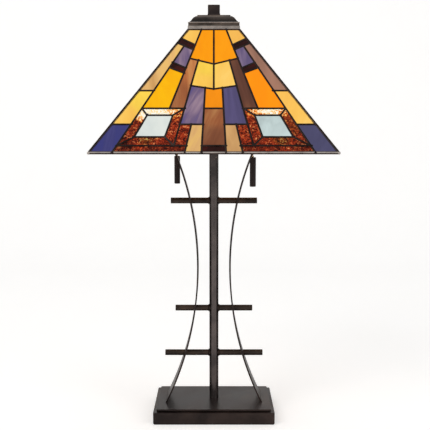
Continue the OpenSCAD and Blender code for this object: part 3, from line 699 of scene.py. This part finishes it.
# A pane cut into a grid and given a top side; also the set of its underside's points
def gridOf(pane, step):
    bm = bmesh.new()
    bm.faces.new([bm.verts.new((u, s, 0)) for u, s in pane["corners"]])
    for axis in (0, 1):
        low = min(c[axis] for c in pane["corners"])
        high = max(c[axis] for c in pane["corners"])
        count = max(1, round((high - low) / step))
        for i in range(1, count):
            place, normal = [0, 0, 0], [0, 0, 0]
            place[axis] = low + (high - low) * i / count
            normal[axis] = 1
            bmesh.ops.bisect_plane(bm, geom=bm.verts[:] + bm.edges[:] + bm.faces[:], plane_co=place,
                                   plane_no=normal, dist=0.01 * mm)
    bm.normal_update()
    under = set(bm.verts)
    bmesh.ops.extrude_face_region(bm, geom=bm.faces[:])
    bm.verts.ensure_lookup_table()
    return bm, under


# Height of a pane's surface at a place: gentle waves or a ripple, dropping at the edges
def paneHeight(pane, look, fine, u, s, layer):
    if fine:
        cell = Vector((u + layer, s, layer)) / paneBuild["rippleSize"]
        wave = noise.fractal(cell, 0.9, 2.1, 3) - paneBuild["rippleLevel"]
    else:
        wave = noise.noise(Vector((u, s, layer)) / paneBuild["waveSize"])
    drop = math.exp(-(edgeDistance(u, s, pane["corners"]) / paneBuild["tuckWidth"]) ** 2)
    return pane["top"] + wave * look["relief"] * mm * (1 - drop) - paneBuild["tuck"] * drop


def buildPanes(kind, nodeName, seed):
    look = glassKinds[kind]
    rand = random.Random(seed)
    fine = kind == "ripple"
    step = paneBuild["fine"] if fine else paneBuild["coarse"]
    points, faces, coords, glows, tones = [], [], [], [], []
    for pane in readPanes(nodeName):
        bm, under = gridOf(pane, step)
        lean = rand.uniform(-paneBuild["lean"], paneBuild["lean"])
        if kind in ("dark", "ripple"):
            lean = rand.uniform(-math.pi, math.pi)
        turn = Matrix.Rotation(lean, 2)
        offset = Vector((rand.uniform(-9, 9), rand.uniform(-9, 9)))
        layer = rand.uniform(-9, 9)
        shift = rand.uniform(-paneBuild["shift"], paneBuild["shift"]) if pane["k"] else 0.0
        start = len(points)
        for vert in bm.verts:
            u, s = vert.co.x, vert.co.y
            h = pane["bottom"] if vert in under else paneHeight(pane, look, fine, u, s, layer)
            spot = onFace(u, s, h, pane["k"])
            points.append(spot)
            flat = turn @ Vector((u, s)) + offset
            coords.extend((flat.x, flat.y, layer))
            glows.append(rippleGlow(-u if pane["k"] % 2 else u, s) if fine else glowAt(spot))
            tones.append(max(-1.0, min(1.0, toneOf(kind, pane["k"], u, s) + shift)))
            vert.index = len(points) - 1 - start
        for f in bm.faces:
            faces.append(tuple(start + v.index for v in f.verts))
        bm.free()
    mesh = meshFrom(kind + "Panes", points, faces)
    mesh.attributes.new("glassCoord", "FLOAT_VECTOR", "POINT").data.foreach_set("vector", coords)
    mesh.attributes.new("bulbGlow", "FLOAT", "POINT").data.foreach_set("value", glows)
    mesh.attributes.new("paneTone", "FLOAT", "POINT").data.foreach_set("value", tones)
    faceOutwards(mesh)
    return finishPiece(kind + "Panes", mesh, glassMaterials[kind], "shade", [nodeName])


for number, kind in enumerate(glassKinds):
    buildPanes(kind, kind + "_glass", 100 + number)
print("panes built")


solder = {"width": 3.4 * mm, "rise": 0.75 * mm, "step": 5 * mm, "uneven": 0.22, "blob": 2.3 * mm,
          "blobRise": 1.1 * mm, "blobUneven": 0.3, "blobApart": 2.6 * mm, "blobSink": 0.1 * mm,
          "hipGap": 5 * mm}


solderHalf = 1.55 * mm     # from a pane's edge to the middle of the came beside it


# Centre lines of the cames on one face, from the outlines of the panes between them
def cameLines():
    segments = []
    for kind in glassKinds:
        for pane in readPanes(kind + "_glass"):
            if pane["k"]:
                continue
            corners = pane["corners"]
            count = len(corners)
            moved = []
            for i in range(count):
                a, b = Vector(corners[i]), Vector(corners[(i + 1) % count])
                side = (b - a).normalized()
                out = Vector((side.y, -side.x)) * solderHalf
                moved.append((a + out - side * solderHalf, b + out + side * solderHalf))
            segments.extend(moved)
    lines = []
    for a, b in segments:
        direction = (b - a).normalized()
        if direction.y < -0.001 or (abs(direction.y) <= 0.001 and direction.x < 0):
            a, b, direction = b, a, -direction
        normal = Vector((direction.y, -direction.x))
        for line in lines:
            level = abs(line["normal"].dot((a + b) / 2) - line["offset"]) < 0.5 * mm
            if line["direction"].dot(direction) > 0.9998 and level:
                line["spans"].append((line["direction"].dot(a), line["direction"].dot(b)))
                break
        else:
            lines.append({"direction": direction, "normal": normal, "offset": normal.dot(a),
                          "spans": [(direction.dot(a), direction.dot(b))]})
    merged = []
    for line in lines:
        spans = sorted(line["spans"])
        current = list(spans[0])
        joined = []
        for low, high in spans[1:]:
            if low < current[1] + 2 * mm:
                current[1] = max(current[1], high)
            else:
                joined.append(tuple(current))
                current = [low, high]
        joined.append(tuple(current))
        for low, high in joined:
            base = line["normal"] * line["offset"]
            merged.append((base + line["direction"] * low, base + line["direction"] * high))
    return merged


# The rim hides the lowest came
lines = [ends for ends in cameLines() if max(ends[0].y, ends[1].y) > 3 * mm]


# A came's half-round section, as (sideways, up) shares
section = [(-1.0, -0.6), (-0.94, 0.1), (-0.72, 0.62), (-0.38, 0.92), (0.0, 1.0), (0.38, 0.92), (0.72, 0.62),
           (0.94, 0.1), (1.0, -0.6)]


def buildSolder(k, nodeName, name):
    rand = random.Random(40 + k)
    skin = Skin()
    ends = []
    for a, b in lines:
        length = (b - a).length
        count = max(2, round(length / solder["step"]))
        side = Vector(((b - a).y, -(b - a).x)).normalized()
        for surface, sign in ((0.0, 1.0), (-leadDepth, -1.0)):
            rings = []
            phase = rand.uniform(0, 99)
            for i in range(count + 1):
                at = a.lerp(b, i / count)
                sway = noise.noise(Vector((i * 0.9, phase, 0)))
                wide = solder["width"] / 2 * (1 + solder["uneven"] * 0.5 * sway)
                rise = solder["rise"] * (1 + solder["uneven"] * sway)
                rings.append([onFace(at.x + side.x * x * wide, at.y + side.y * x * wide,
                                     surface + sign * y * rise, k) for x, y in section])
            skin.addRings(rings)
        ends.extend((a, b))
    spots = []
    for end in ends:
        hip = face["lowHalf"] + (face["highHalf"] - face["lowHalf"]) * end.y / face["slant"]
        if abs(end.x) > hip - solder["hipGap"]:
            continue
        for other in spots:
            if (other - end).length < solder["blobApart"]:
                break
        else:
            spots.append(end)
    for spot in spots:
        radius = solder["blob"] * (1 + solder["blobUneven"] * rand.uniform(-0.6, 1))
        tall = solder["blobRise"] * (1 + solder["blobUneven"] * rand.uniform(-0.6, 0.6))
        spin = rand.uniform(0, math.tau)
        rings = []
        for t in (0.0, 0.35, 0.7, 0.9, 0.999):
            ring = []
            for j in range(12):
                angle = spin + j * math.tau / 12
                reach = radius * math.sqrt(1 - t * t) * (1 + 0.12 * math.sin(2 * angle + spin))
                ring.append(onFace(spot.x + reach * math.cos(angle), spot.y + reach * math.sin(angle),
                                   tall * t - solder["blobSink"], k))
            rings.append(ring)
        skin.addRings(rings)
    mesh = skin.mesh(name)
    finishPiece(name, mesh, metal["solder"], "shade")
    assign(metal["solder"], nodeName)


for k, side in enumerate(("front", "right", "back", "left")):
    buildSolder(k, side + "_leading", side + "Solder")
print("solder lines:", len(lines), "on each face")


hipBuild = {"radius": 1.35 * mm, "sink": 0.9 * mm, "uneven": 0.12, "step": 6 * mm}


# Thin solder beads down the four corners where the faces meet
def buildHips():
    skin = Skin()
    corner = face["origin"]
    bottom = Vector((-corner.y, corner.y, corner.z))
    top = onFace(0, face["slant"], 0, 0)
    upper = Vector((-top.y, top.y, top.z))
    axis = (upper - bottom).normalized()
    away = Vector((1, -1, 0)).normalized()
    away = (away - axis * away.dot(axis)).normalized()
    start = bottom - away * hipBuild["sink"]
    length = (upper - bottom).length
    for k in range(faceCount):
        rings = []
        count = round(length / hipBuild["step"])
        for i in range(count + 1):
            centre = turned(k) @ (start + axis * (length * i / count))
            sway = noise.noise(Vector((i * 0.7, 7.3 * k, 3)))
            radius = hipBuild["radius"] * (1 + hipBuild["uneven"] * sway)
            rings.append(ringAround(centre, turned(k).to_3x3() @ axis, radius, 16))
        skin.addRings(rings)
    finishPiece("hipSolder", skin.mesh("hipSolder"), metal["solder"], "shade", ["hip_cames"])


buildHips()


# A square frame swept round four mitred corners; the outline holds (distance out from the half-width, height)
def squareFrame(half, outline):
    skin = Skin()
    rings = []
    for k in range(faceCount):
        corner = [(half + out, z) for out, z in outline]
        rings.append([turned(k) @ Vector((r, -r, z)) for r, z in corner])
    skin.addRings(rings, closed=True)
    return skin


# Heights above the panes' lower edge; the upper part is a strip of light metal, a painted highlight line, with
# a bead at each corner
rimBuild = {"foot": -3.8 * mm, "seam": -1.7 * mm, "lip": 0.5 * mm, "out": 0.5 * mm, "inward": 5.6 * mm,
            "bead": 2.4 * mm, "beadIn": 0.3 * mm, "round": 0.35 * mm, "stripOut": 0.8 * mm,
            "stripBack": 2.4 * mm, "lipBack": 0.9 * mm, "stripStep": 1.0 * mm}


# The cap's edge bead and the collar's ribs, both in light metal as painted highlight lines; the lowest rib is
# the thickest
trims = {"capRadius": 0.75 * mm, "capSet": 0.3 * mm, "ribRadius": 0.5 * mm, "ribs": 3, "lowestRib": 1.5,
         "back": 0.6 * mm}


# A half-round bead that runs round the four sides of a square band
def squareBead(half, height, radius):
    angles = [math.radians(a) for a in range(-90, 91, 30)]
    outline = [(radius * math.cos(a), height + radius * math.sin(a)) for a in angles]
    back = -trims["back"]
    return squareFrame(half, [(back, height - radius)] + outline + [(back, height + radius)])


def buildTrims():
    low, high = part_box("top_collar")
    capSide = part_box("shade_cap")[1].x
    edge = capSide - trims["capRadius"] * 0.4
    shoulder = max(v.co.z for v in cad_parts["shade_cap"].data.vertices if v.co.x > capSide - 0.1 * mm)
    # The bead at the cap's shoulder is a painted highlight line
    finishPiece("capHighlightBead", squareBead(edge, shoulder - trims["capSet"], trims["capRadius"]).mesh("capHighlightBead"),
                metal["paintedHighlightMetal"], "shade")
    skin = Skin()
    for i in range(trims["ribs"]):
        height = low.z + trims["ribRadius"] * 1.6 + (high.z - low.z) * i / trims["ribs"]
        rib = squareBead(high.x - 0.1 * mm, height, trims["ribRadius"] * (1 if i else trims["lowestRib"]))
        start = len(skin.points)
        skin.points.extend(rib.points)
        skin.faces.extend(tuple(start + j for j in f) for f in rib.faces)
    finishPiece("collarHighlightRibs", skin.mesh("collarHighlightRibs"), metal["paintedHighlightMetal"], "shade")


def buildRim():
    half, level = -face["origin"].y, face["origin"].z
    foot, seam, lip = (level + rimBuild[key] for key in ("foot", "seam", "lip"))
    out, back, ease = rimBuild["out"], -rimBuild["inward"], rimBuild["round"]
    dark = [(back, foot + ease), (back + ease, foot), (out - ease, foot), (out, foot + ease),
            (out, seam - ease), (out - ease, seam), (back + ease, seam), (back, seam - ease)]
    finishPiece("rimChannel", squareFrame(half, dark).mesh("rimChannel"), metal["solder"], "shade",
                ["bottom_rim"])
    # The upper strip's light metal is a painted highlight line along the rim
    wide, inner = rimBuild["stripOut"], -rimBuild["stripBack"]
    strip = [(inner, seam), (wide - ease, seam), (wide, seam + ease), (wide, lip - ease), (wide - ease, lip),
             (-rimBuild["lipBack"], lip), (inner, seam + rimBuild["stripStep"])]
    skin = squareFrame(half, strip)
    radius = rimBuild["bead"]
    reach = half - rimBuild["beadIn"]
    for k in range(faceCount):
        centre = turned(k) @ Vector((reach, -reach, seam))
        rings = []
        for a in [math.radians(d) for d in range(-88, 89, 16)]:
            level = centre + Vector((0, 0, radius * math.sin(a)))
            rings.append(ringAround(level, (0, 0, 1), radius * math.cos(a), 20))
        skin.addRings(rings)
    finishPiece("rimHighlightStrip", skin.mesh("rimHighlightStrip"), metal["paintedHighlightMetal"], "shade")


buildRim()
buildTrims()
easedCopy("collarBand", ["top_collar"], 0.5 * mm, metal["collarBronze"], "shade")
easedCopy("capMetal", ["shade_cap"], 0.7 * mm, metal["capBronze"], "shade", sharp=24)
easedCopy("finialBlock", ["finial_block"], 0.6 * mm, metal["bronze"], "finial", sharp=24)
print("shade metal built")


easedCopy("lowerCasing", ["base_casing"], 0.9 * mm, metal["bronze"], "stand")
easedCopy("topPlate", ["base_top_plate"], 0.6 * mm, metal["bronze"], "stand")
for place in ("upper", "middle", "lower"):
    easedCopy(place + "Bar", [place + "_crossbar"], 0.6 * mm, metal["barBronze"], "stand")
for side in ("left", "right"):
    easedCopy(side + "Strip", [side + "_strip"], 0.35 * mm, metal["bronze"], "stand")


assign(metal["bronze"], "column_ring", "weld_beads", "cluster_body", "cluster_cover", "riser_tube")
# The column takes the lighter copy of the bronze, a painted sheen
assign(metal["columnBronzePaintedSheen"], "column_tube")
assign(metal["steel"], "base_nut", "base_washer", "threaded_rod", "left_arm", "right_arm", "lock_nuts",
       "seat_washer", "left_bulb_base", "right_bulb_base")
assign(metal["brass"], "left_socket_cap", "right_socket_cap", "left_socket_shell", "right_socket_shell",
       "screw_shells", "left_spout", "right_spout", "left_chain", "right_chain", "finial_insert")
assign(metal["castCement"], "base_weight")
assign(metal["blackPlastic"], "cord_bushing", "switch_blocks")
assign(metal["waxedCard"], "insulator_sleeves")
assign(feltMaterial, "felt_pad")
assign(bulbMaterial, "left_bulb_glass", "right_bulb_glass")
for side in ("left", "right"):
    easedCopy(side + "Knob", [side + "_knob"], 0.3 * mm, metal["bronze"], side + "_pull_knob")
print("stand and lights dressed")


# The floor turns up into a backdrop behind the lamp; all in metres
studio = {"floorSize": 6.0, "bendStart": 1.6, "bend": 0.8, "backdropTop": 4.0, "world": 0.55, "floorLift": 0.36}


def makeFloor():
    size = studio["floorSize"] / 2
    bend, bendStart = studio["bend"], studio["bendStart"]
    angles = [math.radians(d) for d in range(0, 91, 6)]
    skinPoints, skinFaces = [], []
    rows = [(bendStart + math.sin(a) * bend, bend - math.cos(a) * bend) for a in angles]
    rows = [(-size, 0.0)] + rows + [(bendStart + bend, studio["backdropTop"])]
    for y, z in rows:
        skinPoints.extend([(-size, y, z), (size, y, z)])
    for i in range(len(rows) - 1):
        skinFaces.append((2 * i, 2 * i + 1, 2 * i + 3, 2 * i + 2))
    mesh = meshFrom("floor", skinPoints, skinFaces)
    mesh.shade_smooth()
    floor = bpy.data.objects.new("floor", mesh)
    scene.collection.objects.link(floor)
    material, tree, shader = startMaterial("paleFloor", Roughness=0.8)
    shader.inputs["Specular IOR Level"].default_value = 0.1
    coord = tree.nodes.new("ShaderNodeTexCoord")
    mottle = addNode(tree, "ShaderNodeTexNoise", Scale=6.0, Detail=3.0)
    wire(tree, coord.outputs["Object"], mottle.inputs["Vector"])
    wire(tree, blendColours(tree, mottle.outputs["Fac"], hexColour("f6f5f3"), hexColour("f9f8f7")),
         shader.inputs["Base Color"])
    shader.inputs["Emission Color"].default_value = (1.0, 1.0, 1.0, 1)
    path = tree.nodes.new("ShaderNodeLightPath")
    wire(tree, rangeOf(tree, path.outputs["Is Camera Ray"], 0.0, 1.0, 0.0, studio["floorLift"]),
         shader.inputs["Emission Strength"])
    mesh.materials.append(material)


def addArea(name, place, target, size, energy):
    data = bpy.data.lights.new(name, "AREA")
    data.shape = "RECTANGLE"
    data.size, data.size_y = size
    data.energy = energy
    light = bpy.data.objects.new(name, data)
    scene.collection.objects.link(light)
    light.location = place
    light.rotation_euler = (Vector(target) - Vector(place)).to_track_quat("-Z", "Y").to_euler()


makeFloor()
world = bpy.data.worlds.new("studio")
scene.world = world
world.use_nodes = True
background = world.node_tree.nodes["Background"]
background.inputs["Color"].default_value = (1, 1, 1, 1)
path = world.node_tree.nodes.new("ShaderNodeLightPath")
wire(world.node_tree, rangeOf(world.node_tree, path.outputs["Is Camera Ray"], 0.0, 1.0, studio["world"], 1.0),
     background.inputs["Strength"])
addArea("keyLight", (-1.6, -1.8, 2.2), (0, 0, 0.35), (1.4, 1.4), 22)
addArea("fillLight", (1.9, -1.5, 1.4), (0, 0, 0.35), (1.2, 1.6), 10)
for name, bulb in zip(("leftBulbLight", "rightBulbLight"), bulbs):
    data = bpy.data.lights.new(name, "POINT")
    data.energy = 0.9
    data.color = (1.0, 0.82, 0.58)
    data.shadow_soft_size = 0.026
    light = bpy.data.objects.new(name, data)
    scene.collection.objects.link(light)
    light.location = bulb

view = {"distance": 1.5, "height": 0.5342, "side": 0.00206, "pitch": 5.85, "lens": 66.98}
cameraData = bpy.data.cameras.new("camera")
cameraData.lens = view["lens"]
cameraData.sensor_width = 36
camera = bpy.data.objects.new("camera", cameraData)
scene.collection.objects.link(camera)
camera.location = (view["side"], -view["distance"], view["height"])
camera.rotation_euler = (math.radians(90 - view["pitch"]), 0, 0)
scene.camera = camera
scene.view_settings.view_transform = "Standard"
print("studio ready")
